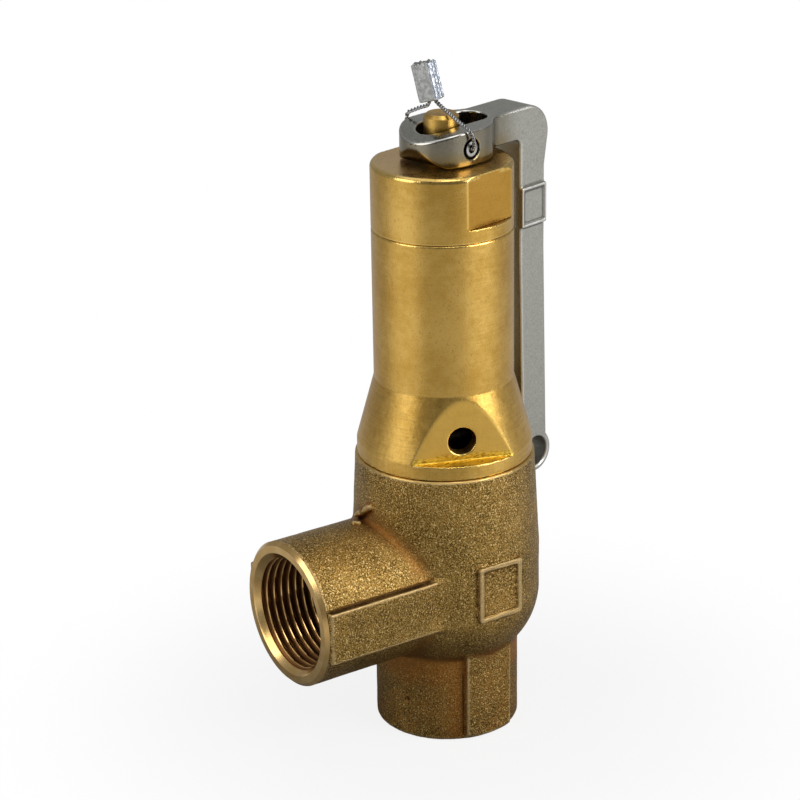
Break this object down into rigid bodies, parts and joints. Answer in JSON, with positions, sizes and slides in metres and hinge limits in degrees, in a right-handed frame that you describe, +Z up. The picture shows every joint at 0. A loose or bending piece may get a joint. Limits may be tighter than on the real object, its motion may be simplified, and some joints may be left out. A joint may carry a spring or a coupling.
{
  "type": "pressure relief valve",
  "caption": "Angle pressure relief valve with a cast body, threaded inlet and outlet, turned spring bonnet with a vent hole, flatted cap and sealed easing lever.",
  "frame": {"origin": "centre of the inlet face", "axes": "+Z up along the valve axis, away from the inlet; -X out of the outlet; +Y to the back, away from the side with the vent hole"},
  "size_m": [0.0712, 0.0414, 0.1491],
  "materials": {
    "cast_bronze": "sand cast, matt, with machined faces",
    "turned_brass": "turned, satin",
    "cast_steel": "cast stainless, satin",
    "steel": "plain",
    "spring_steel": "drawn wire",
    "seal_metal": "crimped, bright",
    "rubber": "matt black"
  },
  "bodies": {
    "valve": {"valve_body": "cast_bronze", "body_gasket": "rubber", "guide_plate": "turned_brass", "guide_o_ring": "rubber", "bonnet": "turned_brass", "adjusting_screw": "turned_brass", "lock_nut": "turned_brass", "cap": "turned_brass", "upper_spring_plate": "steel", "spring": "spring_steel"},
    "stem": {"spindle": "turned_brass", "lower_spring_plate": "steel", "plate_clip": "spring_steel", "disc_holder": "turned_brass", "disc_clip": "spring_steel", "disc_seal": "rubber", "seal_washer": "steel", "seal_screw": "steel", "lever_pin": "steel", "seal_wire": "steel", "seal_tag": "seal_metal"},
    "lever": {"lever": "cast_steel"}
  },
  "joints": [
    {"name": "stem_lift", "type": "slide", "parent": "valve", "child": "stem", "axis": [0, 0, 1], "range_m": [0, 0.00205], "deforming": ["spring"]},
    {"name": "lever_turn", "type": "hinge", "parent": "stem", "child": "lever", "pos_m": [0, 0, 0.1315], "axis": [0.1994, -0.9799, 0], "range_deg": [0, 22], "stiffness_Nm_per_rad": 0.1}
  ],
  "couplings": [
    {"joint": "stem_lift", "follows": "lever_turn", "m_per_rad": 0.005338}
  ]
}
